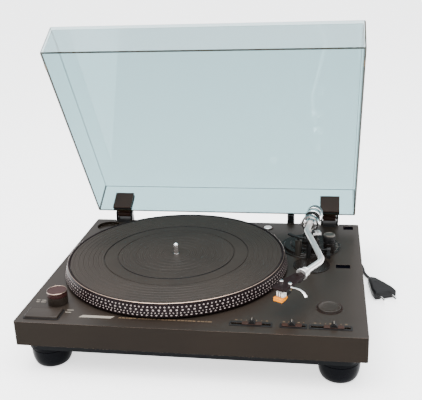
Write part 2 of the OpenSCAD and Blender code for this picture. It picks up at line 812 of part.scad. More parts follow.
module hinge_bases() {
    color(black) for (sx = [-1, 1]) deck([sx * hinge_x, 0, 0]) difference() {
        union() {
            translate([-11, 171, -24]) cube([22, 26, 24.6]);
            translate([-14.5, 184, -24]) cube([29, 13, 24.6]);
            for (x = [-14.5, 11.3]) translate([x, 0, 0]) {
                translate([0, 184.5, 0]) cube([3.2, 11, hinge_at[1]]);
                translate([0, hinge_at[0], hinge_at[1]]) bar_x(5.5, 0, 3.2);
            }
        }
        translate([0, hinge_at[0], hinge_at[1]]) bar_x(hinge_pin_r, -20, 20);
    }
}

module hinge_pins() {
    color(silver) for (sx = [-1, 1])
        deck([sx * hinge_x, hinge_at[0], hinge_at[1]]) bar_x(hinge_pin_r, -15, 15);
}

module hinge_arms() {
    color([0.14, 0.11, 0.1]) cover_frame() for (sx = [-1, 1])
        translate([sx * hinge_x, 0, 0]) difference() {
            union() {
                translate([-16, 173, 4]) cube([32, 3.8, 33]);
                translate([-16, 166.8, 4]) cube([32, 3.2, 33]);
                translate([-11, 176, hinge_at[1] - 3]) cube([22, 14, 8]);
                translate([0, hinge_at[0], hinge_at[1]]) bar_x(5.5, -11, 11);
            }
            translate([0, hinge_at[0], hinge_at[1]]) bar_x(hinge_pin_r + fit, -20, 20);
        }
}

module dust_cover() {
    color([0.75, 0.8, 0.84, 0.35]) cover_frame() translate([0, cover_y, cover_rim_z])
        difference() {
            slab(cover_w, cover_d, cover_corner, cover_h);
            translate([0, 0, -1]) slab(cover_w - 2 * cover_t, cover_d - 2 * cover_t,
                                       0.8, cover_h + 1 - cover_t);
        }
}

module cover_bumpers() {
    color([0.6, 0.6, 0.6]) cover_frame() for (sx = [-1, 1])
        translate([sx * (cover_w / 2 - 1.5), cover_y - cover_d / 2 + 26, 0.4])
            translate([-1.4, -5, 0]) cube([2.8, 10, cover_rim_z - 0.4]);
}

// ---- mains cord ----

module mains_cord() {
    color(black) deck([0, 0, 0]) {
        swept_rod(smooth(tail_route, 2), cord_d / 2, 10, [1, 0, 0]);
        swept_rod(smooth(lead_route, 2), cord_d / 2, 10, [0, 0, 1]);
    }
}

module cord_coil() {
    color(black) deck([coil_at[0], coil_at[1], -deck_z]) rotate_extrude()
        translate([coil_r - coil_band / 2, 0]) square([coil_band, coil_rows * cord_d]);
}

// The plug's frame: -Y points out of its pins.
module plug_frame() {
    deck([plug_at[0], plug_at[1], -deck_z]) rotate([0, 0, plug_turn]) children();
}

module mains_plug() {
    color(black) plug_frame() difference() {
        translate([0, 0, 0.2]) linear_extrude(plug_h - 0.2) polygon([
            [-5, 0], [5, 0], [7, -6], [17.5, -44], [18, -plug_len], [-18, -plug_len],
            [-17.5, -44], [-7, -6]]);
        for (s = [-1, 1]) translate([9.5 * s, 0, plug_h / 2])
            bar_y(1.7, -plug_len - 1, -plug_len + 8);
    }
}

module plug_pins() {
    color(silver) plug_frame() for (s = [-1, 1]) translate([9.5 * s, 0, plug_h / 2]) {
        bar_y(2, -plug_len - 19, -plug_len);
        bar_y(1.7, -plug_len - 1, -plug_len + 8);
    }
}

top_chassis();
base_tray();
feet();
foot_screws();
case_screws();
circuit_board();
control_switches();
power_transformer();
motor_can();
drive_belt();
bearing_housing();
tonearm_base();
lift_cylinder();
arm_rest();
strobe_tower();
strobe_lamp();
control_bezels();
headshell_holder();
rear_panel();
phono_jacks();
ground_terminal();
cord_relief();
hinge_bases();
hinge_pins();
mains_cord();
cord_coil();
mains_plug();
plug_pins();
platter();
platter_mat();
spindle();
motor_pulley();
gimbal_yoke();
gimbal_screws();
pivot_block();
arm_tube();
rear_stub();
headshell();
headshell_screws();
cartridge();
stylus();
finger_lift();
lock_collar();
weight_bush();
counterweight();
force_dial();
anti_skate_knob();
cue_lever();
lift_platform();
arm_clip();
power_knob();
start_button();
stop_button();
pitch_slider_33();
speed_slider();
pitch_slider_45();
stylus_light();
dust_cover();
cover_bumpers();
hinge_arms();
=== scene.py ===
import bpy, bmesh
from math import acos, cos, pi, radians, sin, tan
from mathutils import Matrix, Vector


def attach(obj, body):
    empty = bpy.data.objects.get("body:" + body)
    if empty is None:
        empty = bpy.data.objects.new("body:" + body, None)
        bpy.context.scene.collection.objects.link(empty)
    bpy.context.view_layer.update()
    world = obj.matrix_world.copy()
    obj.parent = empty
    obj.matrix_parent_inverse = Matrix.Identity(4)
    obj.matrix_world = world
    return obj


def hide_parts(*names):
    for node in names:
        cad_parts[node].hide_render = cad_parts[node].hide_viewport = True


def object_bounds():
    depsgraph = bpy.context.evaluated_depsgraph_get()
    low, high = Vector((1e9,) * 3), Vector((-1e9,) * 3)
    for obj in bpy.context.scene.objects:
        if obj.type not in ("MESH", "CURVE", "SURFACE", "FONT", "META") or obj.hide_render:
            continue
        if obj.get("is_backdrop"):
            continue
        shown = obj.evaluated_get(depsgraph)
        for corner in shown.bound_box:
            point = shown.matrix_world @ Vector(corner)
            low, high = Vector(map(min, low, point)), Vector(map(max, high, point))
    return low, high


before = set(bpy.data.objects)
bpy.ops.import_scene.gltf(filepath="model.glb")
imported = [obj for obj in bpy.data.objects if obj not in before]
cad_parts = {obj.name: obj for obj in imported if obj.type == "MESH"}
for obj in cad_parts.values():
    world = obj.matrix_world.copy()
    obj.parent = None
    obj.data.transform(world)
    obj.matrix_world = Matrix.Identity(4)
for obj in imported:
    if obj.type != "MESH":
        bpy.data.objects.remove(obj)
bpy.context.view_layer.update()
scene = bpy.context.scene


# ---------------------------------------------------------------- places, in mm on the deck
PLINTH_Y = -20         # the plinth's middle in the part's frame
DECK_Z = 75            # the deck above the floor
MM = Matrix.Scale(0.001, 4)


def deck_point(x, y, z):
    """A deck place in mm, as a point of the part's frame in metres."""
    return Vector((x, y + PLINTH_Y, z + DECK_Z)) / 1000


def at(x, y, z, turn=0):
    """A frame in mm at a deck place, turned about Z."""
    return Matrix.Translation(deck_point(x, y, z)) @ Matrix.Rotation(radians(turn), 4, "Z") @ MM


ARM_H = 39             # the tonearm's tube above the deck
ARM_TURN, HEAD_TURN = 8, 29.8      # how far the arm and the headshell point inward, in degrees
ARM_PIVOT = (148, 87)
HEAD_AT = (118, -136)
FOOT_AT = (191, 147)
KNOB_AT = (-184, -127)
START_AT = (-191.5, -160)
STOP_AT = (178, -111)
SKATE_AT = (177, 66)
LIGHT_AT = (76.5, 159)
SLIDER_Y = -162
HINGE_Y, HINGE_Z = 190, 9
COVER_ANGLE = -58.6    # how far the cover stands open

DECK = at(0, 0, 0)
SPINDLE = at(-46, 2, 0)
ARM_BASE = at(*ARM_PIVOT, 0)
ARM_FRAME = at(*ARM_PIVOT, ARM_H, -ARM_TURN)
HEAD_FRAME = at(*HEAD_AT, ARM_H, -HEAD_TURN)
COVER = (Matrix.Translation(deck_point(0, HINGE_Y, HINGE_Z)) @ Matrix.Rotation(radians(COVER_ANGLE), 4, "X")
         @ MM @ Matrix.Translation((0, -HINGE_Y, -HINGE_Z)))
Y_UP = Matrix.Rotation(radians(-90), 4, "X")      # turns a lathe's Z axis onto +Y

# ---------------------------------------------------------------- camera
CAMERA_PLACE = (0.1708, -0.9655, 0.5227)
CAMERA_TURN, CAMERA_TILT, CAMERA_ROLL = 2.98, 70.24, 6.32
cam_data = bpy.data.cameras.new("camera")
cam_data.lens, cam_data.sensor_width = 60.95, 36
cam = bpy.data.objects.new("camera", cam_data)
scene.collection.objects.link(cam)
cam.matrix_world = (Matrix.Translation(CAMERA_PLACE) @ Matrix.Rotation(radians(CAMERA_TURN), 4, "Z")
                    @ Matrix.Rotation(radians(CAMERA_TILT), 4, "X")
                    @ Matrix.Rotation(radians(CAMERA_ROLL), 4, "Y"))
scene.camera = cam


# ---------------------------------------------------------------- materials
GRAIN_DEPTH = 0.00004      # height of the fine grain, in metres


def material(name, colour, rough=0.4, metal=0.0, vary=0.08, blotch=18, grain=900, bump=0.12,
             rough_vary=0.06, spec=0.5, alpha=1.0, brushed=None, emit=0.0, tint=None, share=1.0):
    """A moulded, painted or metal surface: soft blotches of colour, uneven gloss and a fine grain.

    With a tint it is a clear sheet: tinted light goes through, and a share of it is the surface."""
    m = bpy.data.materials.new(name)
    m.use_nodes = True
    nt = m.node_tree
    N, L = nt.nodes, nt.links
    b = N["Principled BSDF"]
    co = N.new("ShaderNodeTexCoord")
    n1 = N.new("ShaderNodeTexNoise")
    n1.inputs["Scale"].default_value = blotch
    n1.inputs["Detail"].default_value = 5
    L.new(co.outputs["Object"], n1.inputs["Vector"])
    ramp = N.new("ShaderNodeValToRGB")
    lo, hi = [c * (1 - vary) for c in colour], [min(1, c * (1 + vary)) for c in colour]
    ramp.color_ramp.elements[0].position, ramp.color_ramp.elements[0].color = 0.3, (*lo, 1)
    ramp.color_ramp.elements[1].position, ramp.color_ramp.elements[1].color = 0.7, (*hi, 1)
    L.new(n1.outputs["Fac"], ramp.inputs["Fac"])
    L.new(ramp.outputs["Color"], b.inputs["Base Color"])
    n2 = N.new("ShaderNodeTexNoise")
    n2.inputs["Scale"].default_value = grain
    n2.inputs["Detail"].default_value = 3
    if brushed:
        mp = N.new("ShaderNodeMapping")
        mp.inputs["Scale"].default_value = brushed
        L.new(co.outputs["Object"], mp.inputs["Vector"])
        L.new(mp.outputs["Vector"], n2.inputs["Vector"])
    else:
        L.new(co.outputs["Object"], n2.inputs["Vector"])
    mr = N.new("ShaderNodeMapRange")
    mr.inputs["To Min"].default_value = max(0.02, rough - rough_vary)
    mr.inputs["To Max"].default_value = min(1, rough + rough_vary)
    L.new(n1.outputs["Fac"], mr.inputs["Value"])
    L.new(mr.outputs["Result"], b.inputs["Roughness"])
    if bump:
        bp = N.new("ShaderNodeBump")
        bp.inputs["Strength"].default_value = bump
        bp.inputs["Distance"].default_value = GRAIN_DEPTH
        L.new(n2.outputs["Fac"], bp.inputs["Height"])
        L.new(bp.outputs["Normal"], b.inputs["Normal"])
    b.inputs["Metallic"].default_value = metal
    b.inputs["Specular IOR Level"].default_value = spec
    b.inputs["Alpha"].default_value = alpha
    if emit:
        b.inputs["Emission Color"].default_value = (*colour, 1)
        b.inputs["Emission Strength"].default_value = emit
    if tint:
        through = N.new("ShaderNodeBsdfTransparent")
        through.inputs["Color"].default_value = (*tint, 1)
        mix = N.new("ShaderNodeMixShader")
        mix.inputs[0].default_value = share
        L.new(through.outputs[0], mix.inputs[1])
        L.new(b.outputs[0], mix.inputs[2])
        L.new(mix.outputs[0], N["Material Output"].inputs["Surface"])
    m.diffuse_color = (*colour, alpha)
    return m


M = {
    "plinth": material("plinth_paint", (0.017, 0.0125, 0.0095), 0.34, vary=0.14, blotch=9, grain=2600,
                       bump=0.10, spec=0.22),
    # A darker, less glossy copy of the plinth paint for the chassis' side faces: painted shade.
    "skirt": material("plinth_skirt_shaded_paint", (0.0095, 0.0065, 0.0042), 0.40, vary=0.16, blotch=7, grain=2600,
                      bump=0.10, spec=0.06),
    # A pale copy of the plinth paint for the rounded edges: a painted highlight.
    "glint": material("plinth_edge_painted_highlight", (0.26, 0.185, 0.145), 0.35, vary=0.3, blotch=5, spec=0.4),
    "tray": material("tray_paint", (0.0025, 0.0030, 0.0036), 0.5, spec=0.05),
    "foot": material("foot_plastic", (0.0008, 0.0011, 0.0020), 0.26, spec=0.03, grain=600),
    "zinc": material("zinc_screw", (0.55, 0.55, 0.53), 0.32, 1.0, grain=1500),
    "board": material("board_green", (0.03, 0.14, 0.06), 0.35),
    "black": material("black_plastic", (0.007, 0.0065, 0.0065), 0.42, grain=1500, bump=0.2, spec=0.2),
    "gloss": material("black_gloss", (0.008, 0.0062, 0.0052), 0.26, spec=0.15, bump=0.04),
    "shell": material("headshell_black", (0.0085, 0.0040, 0.0040), 0.38, spec=0.08, bump=0.04),
    # Near-black and matte: painted shade inside the slots.
    "void": material("recess_painted_shade", (0.0012, 0.0012, 0.0022), 0.9, spec=0.0),
    "core": material("core_steel", (0.3, 0.29, 0.27), 0.5, 0.9, brushed=(1, 1, 60)),
    "steel": material("motor_steel", (0.45, 0.45, 0.45), 0.35, 1.0, brushed=(1, 1, 30)),
    "belt": material("belt_rubber", (0.015, 0.015, 0.015), 0.7, grain=3000, bump=0.3),
    "mat": material("mat_rubber", (0.022, 0.0165, 0.0130), 0.50, vary=0.16, blotch=12, grain=2200,
                    bump=0.25, spec=0.2),
    # A darker copy of the mat rubber for the deep grooves' walls: painted shade.
    "step": material("mat_step_painted_shade", (0.006, 0.006, 0.007), 0.6, spec=0.2),
    # A dark rim tinted red: the red is painted light from the strobe lamp.
    "rim": material("strobe_rim_painted_red_light", (0.007, 0.0038, 0.0042), 0.36, 0.0, spec=0.08, brushed=(1, 1, 80)),
    "lip": material("platter_lip", (0.34, 0.25, 0.20), 0.30, 1.0, brushed=(1, 1, 90)),
    "alloy": material("platter_alloy", (0.42, 0.41, 0.40), 0.4, 0.9),
    "dot": material("strobe_dot", (0.36, 0.30, 0.285), 0.30, 0.6, vary=0.05),
    "chrome": material("chrome", (0.97, 0.94, 0.92), 0.19, 1.0, vary=0.03, bump=0.02),
    "satin": material("satin_silver", (0.92, 0.90, 0.88), 0.32, 0.9, vary=0.04, grain=2500),
    "dull": material("dull_silver", (0.085, 0.076, 0.066), 0.42, 0.8, vary=0.1),
    "brass": material("brass", (0.72, 0.52, 0.22), 0.25, 1.0),
    "white": material("white_plastic", (0.80, 0.80, 0.76), 0.3, vary=0.03),
    "orange": material("orange_plastic", (0.86, 0.27, 0.004), 0.35, vary=0.08, spec=0.2),
    "red": material("red_lens", (0.65, 0.03, 0.015), 0.12, vary=0.05, emit=0.5, bump=0),
    "hinge": material("hinge_brown", (0.028, 0.013, 0.009), 0.38, vary=0.15, spec=0.15),
    "cover": material("clear_cover", (0.45, 0.62, 0.66), 0.035, 0.8, vary=0.12, blotch=2.2, bump=0,
                      rough_vary=0.01, tint=(0.480, 0.595, 0.612), share=0.07),
    # A paler, clearer copy of the cover for its front wall: a painted reflection.
    "clear": material("clear_cover_front_painted_sheen", (0.95, 0.95, 0.96), 0.05, 1.0, vary=0.04, blotch=3, bump=0,
                      rough_vary=0.015, tint=(0.98, 0.98, 0.985), share=0.06),
    # Dark brown for the cover's corners and cut edges: painted shade.
    "edge": material("cover_edge_painted_shade", (0.022, 0.015, 0.007), 0.6, vary=0.2, blotch=6, bump=0, spec=0.0,
                     alpha=0.92),
    "pad": material("bumper_clear", (0.07, 0.048, 0.022), 0.5),
    "knob": material("knob_paint", (0.026, 0.0095, 0.0085), 0.30, vary=0.12, blotch=9, spec=0.15),
    "cord": material("cord_black", (0.0035, 0.0035, 0.0040), 0.42, grain=1200, spec=0.15),
    "print": material("printed_marks", (0.20, 0.175, 0.145), 0.5, vary=0.05, bump=0.05),
    "amber": material("amber_print", (0.105, 0.068, 0.036), 0.5, vary=0.25, blotch=60, bump=0.05),
}


# ---------------------------------------------------------------- building helpers
SHARP = 32                 # edges turning by more than this many degrees are sharp


def finish_mesh(ob, mats, body, bevel=0.0, segments=2, hides=(), angle=SHARP):
    """Links a new piece, marks its sharp edges, bevels them, and rides it on its body."""
    scene.collection.objects.link(ob)
    for m in (mats if isinstance(mats, (list, tuple)) else [mats]):
        ob.data.materials.append(M[m])
    bm = bmesh.new()
    bm.from_mesh(ob.data)
    bmesh.ops.recalc_face_normals(bm, faces=bm.faces)
    for f in bm.faces:
        f.smooth = True
    for e in bm.edges:
        e.smooth = len(e.link_faces) == 2 and e.calc_face_angle(0) < radians(angle)
    bm.to_mesh(ob.data)
    bm.free()
    if bevel:
        bv = ob.modifiers.new("bevel", "BEVEL")
        bv.width, bv.segments, bv.limit_method = bevel / 1000, segments, "ANGLE"
        bv.angle_limit, bv.harden_normals = radians(angle), False
        wn = ob.modifiers.new("normals", "WEIGHTED_NORMAL")
        wn.keep_sharp = False
    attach(ob, body)
    if hides:
        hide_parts(*hides)
    return ob


def piece(name, verts, faces, mats, body, where=DECK, slot=None, bevel=0.0, hides=(), face_mats=None,
          angle=SHARP):
    """A new piece from points in mm; where is the frame they are in."""
    me = bpy.data.meshes.new(name)
    me.from_pydata([where @ Vector(v) for v in verts], [], faces)
    if face_mats:
        me.polygons.foreach_set("material_index", face_mats)
    return finish_mesh(bpy.data.objects.new(name, me), mats, body, bevel, 2, hides, angle)


def from_cad(node, mats, body, bevel=0.4, segments=2, pick=None):
    """A finer copy of a CAD node with rounded edges; pick(normal, centre) gives a face's material."""
    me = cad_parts[node].data.copy()
    me.materials.clear()
    ob = bpy.data.objects.new(node + "_fine", me)
    bm = bmesh.new()
    bm.from_mesh(me)
    bmesh.ops.remove_doubles(bm, verts=bm.verts, dist=2e-6)
    bmesh.ops.dissolve_limit(bm, angle_limit=radians(0.6), verts=bm.verts, edges=bm.edges)
    for f in bm.faces:
        f.material_index = pick(f.normal, f.calc_center_median()) if pick else 0
    bm.to_mesh(me)
    bm.free()
    if "custom_normal" in me.attributes:
        me.attributes.remove(me.attributes["custom_normal"])
    return finish_mesh(ob, mats, body, bevel, segments, (node,))


def lathe(profile, segments, closed=True):
    """Vertices and faces of a profile of (r, z) points turned about Z."""
    verts, faces = [], []
    n = len(profile)
    for k in range(segments):
        a = radians(360.0 * k / segments)
        verts += [(r * cos(a), r * sin(a), z) for r, z in profile]
    rows = n if closed else n - 1
    for k in range(segments):
        k2 = (k + 1) % segments
        for i in range(rows):
            j = (i + 1) % n
            faces.append((k * n + i, k2 * n + i, k2 * n + j, k * n + j))
    return verts, faces


def fuse(*parts):
    """Several parts' points and faces as one."""
    verts, faces = [], []
    for v, f in parts:
        base = len(verts)
        verts += v
        faces += [tuple(i + base for i in q) for q in f]
    return verts, faces


def moved(part, matrix):
    """A part's points put through a matrix."""
    return [tuple(matrix @ Vector(v)) for v in part[0]], part[1]


def box(x0, x1, y0, y1, z0, z1):
    """A block between two corners."""
    v = [(x, y, z) for x in (x0, x1) for y in (y0, y1) for z in (z0, z1)]
    return v, [(0, 1, 3, 2), (4, 6, 7, 5), (0, 4, 5, 1), (2, 3, 7, 6), (0, 2, 6, 4), (1, 5, 7, 3)]


def loft(rings, cap=True):
    """Skin through rings of equal length."""
    n = len(rings[0])
    verts = [p for r in rings for p in r]
    faces = [(i * n + k, i * n + (k + 1) % n, (i + 1) * n + (k + 1) % n, (i + 1) * n + k)
             for i in range(len(rings) - 1) for k in range(n)]
    if cap:
        faces += [tuple(range(n - 1, -1, -1)), tuple((len(rings) - 1) * n + k for k in range(n))]
    return verts, faces


def rounded(w, d, r, z, steps=5, cx=0, cy=0):
    """A round-cornered rectangle as a ring of points."""
    pts = []
    for qx, qy, a0 in ((1, 1, 0), (-1, 1, 90), (-1, -1, 180), (1, -1, 270)):
        for i in range(steps + 1):
            a = radians(a0 + 90 * i / steps)
            pts.append((cx + qx * (w / 2 - r) + r * cos(a), cy + qy * (d / 2 - r) + r * sin(a), z))
    return pts


def sweep(path, radius, sides):
    """A round rod along a list of points; radius may be a list."""
    P = [Vector(p) for p in path]
    rings, n = [], Vector((0, 0, 1))
    for i, p in enumerate(P):
        t = (P[min(i + 1, len(P) - 1)] - P[max(i - 1, 0)]).normalized()
        n = (n - n.dot(t) * t).normalized()
        b = t.cross(n)
        r = radius[i] if isinstance(radius, list) else radius
        rings.append([tuple(p + r * cos(2 * pi * k / sides) * n + r * sin(2 * pi * k / sides) * b)
                      for k in range(sides)])
    return loft(rings)


def bend(a, c, b, r, steps):
    """The arc that rounds corner c between a and b."""
    a, b, c = Vector(a), Vector(b), Vector(c)
    u, v = (c - a).normalized(), (b - c).normalized()
    turn = acos(max(-1, min(1, u.dot(v))))
    n = (v - v.dot(u) * u).normalized()
    start = c - r * tan(turn / 2) * u
    mid = start + r * n
    return [mid - r * cos(turn * i / steps) * n + r * sin(turn * i / steps) * u for i in range(steps + 1)]


def smooth(points, steps=8):
    """A smooth curve through points."""
    P = [Vector(p) for p in points]
    out = []
    for i in range(len(P) - 1):
        a, b = P[i], P[i + 1]
        ta = (b - P[max(i - 1, 0)]) / (2 if i else 1)
        tb = (P[min(i + 2, len(P) - 1)] - a) / (2 if i < len(P) - 2 else 1)
        for k in range(steps):
            s = k / steps
            out.append((2 * s**3 - 3 * s**2 + 1) * a + (s**3 - 2 * s**2 + s) * ta
                       + (3 * s**2 - 2 * s**3) * b + (s**3 - s**2) * tb)
    return out + [P[-1]]


# ---------------------------------------------------------------- plug
CORD_END = (243.7, 119.5)
PLUG = at(*CORD_END, -DECK_Z, 20.4)


def plug_ring(y, w, z0, z1):
    """A round-cornered cross section of the plug, w to each side."""
    corner = min(w, (z1 - z0) / 2) * 0.6
    return [(x, y, z) for x, z, _ in rounded(2 * w, z1 - z0, corner, 0, 4, 0, (z0 + z1) / 2)]


rings = [plug_ring(0, 4.6, 3.2, 11), plug_ring(-2, 5, 2.8, 11.4), plug_ring(-6, 6.8, 1.6, 12.4),
         plug_ring(-10, 8, 1.0, 13.2), plug_ring(-26, 12.4, 0.4, 14), plug_ring(-44, 17.2, 0.3, 14),
         plug_ring(-50, 17.8, 0.2, 14), plug_ring(-56.5, 18, 0.2, 14), plug_ring(-58, 17.2, 1.0, 13.2)]
plug = piece("plug_body", *loft(rings), "cord", "root", PLUG, "cord_black", hides=("mains_plug",), angle=35)
ribs = [box(-3.6 + 0.3 * k, 3.6 - 0.3 * k, -22 - 3 * k - 1.1, -22 - 3 * k + 0.1, 13.2, 13.95)
        for k in range(4)]
grip = piece("plug_grip", *fuse(*ribs), "cord", "root", PLUG, "cord_black")

# ---------------------------------------------------------------- the mains cord
CORD_D = 5.5
COIL_AT = (108, 262)
COIL_STEPS = 166
LAYER_SWEEP = 1192.5       # each of the coil's two layers winds through this many degrees
lie = CORD_D / 2 - DECK_Z  # the cord's middle where it lies on the floor
tail = smooth([(150, 211, -20), (150, 217, -20.5), (150, 224, -24), (150, 230, -31), (149.8, 235, -40),
               (149.5, 241, -49), (149.2, 248, -56.5), (148.9, 255, -61.4), (148.7, 262, lie + CORD_D)], 3)
coil = []
for k in range(1, COIL_STEPS):
    a = k / COIL_STEPS * 2 * LAYER_SWEEP
    inward = a / LAYER_SWEEP if a <= LAYER_SWEEP else 2 - a / LAYER_SWEEP
    r = 40.7 - 18.4 * inward
    drop = min(1, max(0, (a - LAYER_SWEEP + 35) / 70))
    coil.append((COIL_AT[0] + r * cos(radians(a)), COIL_AT[1] + r * sin(radians(a)),
                 lie + CORD_D * (1 - drop * drop * (3 - 2 * drop))))
lead = smooth([(79.2, 233.2, lie), (89, 223.6, lie), (100, 215.5, lie), (114, 210, lie), (130, 207.4, lie),
               (148, 206.5, lie), (166, 206.5, lie), (184, 206.5, lie), (200, 205.5, lie), (214, 201, lie),
               (225, 192.5, lie), (231.5, 181, lie), (234, 168, lie), (235, 155, lie),
               (237, 143, lie + 0.6), (240, 131, lie + 2.4), (*CORD_END, -68)], 2)
route = [deck_point(*p) for p in tail + coil + lead]
curve = bpy.data.curves.new("mains_cord_run", "CURVE")
curve.dimensions, curve.bevel_depth, curve.bevel_resolution = "3D", CORD_D / 2000, 4
spline = curve.splines.new("POLY")
spline.points.add(len(route) - 1)
for p, q in zip(spline.points, route):
    p.co = (*q, 1)
cord = bpy.data.objects.new("mains_cord_run", curve)
scene.collection.objects.link(cord)
curve.materials.append(M["cord"])
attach(cord, "root")
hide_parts("mains_cord", "cord_coil")

# ---------------------------------------------------------------- plinth
# The chassis' side faces, picked by their normals, take the darker copy of the paint as painted shade.
deck = from_cad("top_chassis", ["plinth", "skirt", "glint"], "root", 1.1, segments=3,
                pick=lambda normal, centre: 1 if abs(normal.z) < 0.3 else 2 * (abs(normal.z) < 0.97))
# The bevels take the pale edge colour too: a painted highlight.
deck.modifiers["bevel"].material = 2
from_cad("base_tray", "tray", "root", 0.5)
foot = [(6.5, 0.3), (18.6, 0), (19.7, 0.4)]
foot += [(19.71 + 7.29 * sin(radians(9 * i)), 20.46 * (1 - cos(radians(9 * i)))) for i in range(1, 11)]
foot += [(27, 24.2), (26.4, 24.6), (26.4, 25.4), (27, 25.8), (27, 30), (26.4, 31.6), (25, 33), (6.5, 33)]
parts = [moved(lathe(foot, 72), Matrix.Translation((FOOT_AT[0] * sx, FOOT_AT[1] * sy, -DECK_Z)))
         for sx in (-1, 1) for sy in (-1, 1)]
piece("round_feet", *fuse(*parts), "foot", "root", slot="foot_plastic", hides=("feet",), angle=40)
for n, m in (("foot_screws", "zinc"), ("case_screws", "zinc"), ("circuit_board", "board"),
             ("control_switches", "black"), ("power_transformer", "core"), ("motor_can", "steel"),
             ("drive_belt", "belt"), ("bearing_housing", "steel"), ("strobe_lamp", "red"),
             ("phono_jacks", "brass"), ("ground_terminal", "zinc"), ("hinge_pins", "zinc"),
             ("motor_pulley", "brass"), ("weight_bush", "black"), ("lift_cylinder", "dull"),
             ("plug_pins", "chrome"), ("gimbal_screws", "satin")):
    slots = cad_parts[n].data.materials
    slots.clear()
    slots.append(M[m])

# ---------------------------------------------------------------- platter, strobe dots, mat, spindle
RIM_TOP, RIM_LOW = (159.3, 19.6), (163.5, 4.0)
DISC_STEPS = 192
prof = [(4.02, 3), (13, 3), (13, 13), (86, 13), (86, -4), (90, -4), (90, 13), (153, 13), (160, 2.5),
        (163.1, 2.5), (163.5, 2.9), RIM_LOW, RIM_TOP, (159.0, 20.6), (158.4, 21), (156.4, 21),
        (155.6, 20.4), (155.4, 18), (4.02, 18)]
# The rim's red tint is painted strobe light on a dark rim.
kinds = [0] * 9 + [1] * 4 + [2] + [1] * 3 + [0] * 2      # alloy, black rim and bright lip
piece("platter_disc", *lathe(prof, DISC_STEPS), ["alloy", "rim", "lip"], "platter", SPINDLE,
      "platter_alloy", hides=("platter",), face_mats=kinds * DISC_STEPS, angle=25)

# Strobe dots: four rows of raised eight-sided dots, each (count, place down the rim, height, width)
DOT_ROWS = ((180, 0.24, 1.9, 2.1), (133, 0.49, 2.1, 2.9), (216, 0.72, 1.5, 1.8), (160, 0.91, 1.5, 2.6))
dots, dot_faces = [], []
slope = Vector((RIM_LOW[0] - RIM_TOP[0], 0, RIM_LOW[1] - RIM_TOP[1]))
down = slope.normalized()
out = Vector((-down.z, 0, down.x))
for count, t, high, wide in DOT_ROWS:
    mid = Vector((RIM_TOP[0], 0, RIM_TOP[1])) + t * slope
    for k in range(count):
        turn = Matrix.Rotation(2 * pi * k / count, 4, "Z")
        base = len(dots)
        for grow, lift in ((1.0, 0.02), (0.72, 0.22)):
            for i in range(8):
                a = radians(22.5 + 45 * i)
                dx = max(-0.5, min(0.5, 0.62 * cos(a))) * wide * grow
                dz = max(-0.5, min(0.5, 0.62 * sin(a))) * high * grow
                dots.append(tuple(turn @ (mid + out * lift + Vector((0, dx, 0)) - down * dz)))
        dot_faces += [(base + i, base + (i + 1) % 8, base + 8 + (i + 1) % 8, base + 8 + i) for i in range(8)]
        dot_faces.append(tuple(base + 8 + i for i in range(8)))
piece("strobe_dots", dots, dot_faces, "dot", "platter", SPINDLE, "platter_alloy", angle=70)

# The mat: fine grooves with a deeper one every third, and a low ring between two deep grooves whose walls are
# painted darker as shade
TOP = 20.6
MAT_STEPS = 160
prof = [(155.1, 18.02), (155.1, TOP - 0.7), (154.8, TOP - 0.2), (154.2, TOP)]
for hi, lo, pitch, deep in ((153.4, 106.6, 2.35, 0.5), (84.4, 64.0, 3.4, 0.25), (63.6, 14, 3.1, 0.5)):
    if hi == 84.4:
        prof += [(106.6, TOP), (106.4, TOP - 0.15), (106.2, TOP - 1.5), (105.0, TOP - 1.5),
                 (104.8, TOP - 0.6), (86.6, TOP - 0.6), (86.4, TOP - 1.5), (85.0, TOP - 1.5),
                 (84.8, TOP - 0.15), (84.6, TOP)]
    r, k = hi - pitch * 0.6, 0
    while r > lo + pitch * 0.5:
        w, d = (0.30 * pitch, deep) if k % 3 == 1 else (0.20 * pitch, deep * 0.35)
        prof += [(r + w, TOP), (r + w * 0.45, TOP - d * 0.75), (r, TOP - d),
                 (r - w * 0.45, TOP - d * 0.75), (r - w, TOP)]
        r, k = r - pitch, k + 1
prof += [(5.2, TOP), (4.6, TOP - 0.3), (4.4, TOP - 1), (4.4, 18.02)]
# Marks the walls of the two deep grooves for the darker rubber: painted shade.
shaded_walls = [1 if abs(p[0] - q[0]) < 0.5 and abs(p[0] + q[0] - 2 * w) < 1 and p[1] + q[1] < 2 * TOP - 0.8 else 0
         for p, q in zip(prof, prof[1:] + prof[:1]) for w in [106 if p[0] > 95 else 85]]
piece("ribbed_mat", *lathe(prof, MAT_STEPS), ["mat", "step"], "platter", SPINDLE, "mat_rubber",
      hides=("platter_mat",), face_mats=shaded_walls * MAT_STEPS, angle=48)

prof = [(0.01, -33.6), (1.5, -33.4), (2.8, -32.4), (4, -30.5), (4, 20.5), (3.6, 20.5), (3.6, 33)]
prof += [(3.6 * cos(radians(a)), 33 + 4 * sin(radians(a))) for a in (12, 24, 36, 48, 60, 72, 82)]
prof += [(0.01, 37)]
piece("bullet_spindle", *lathe(prof, 48, closed=False), "chrome", "platter", SPINDLE, "chrome",
      hides=("spindle",), angle=30)

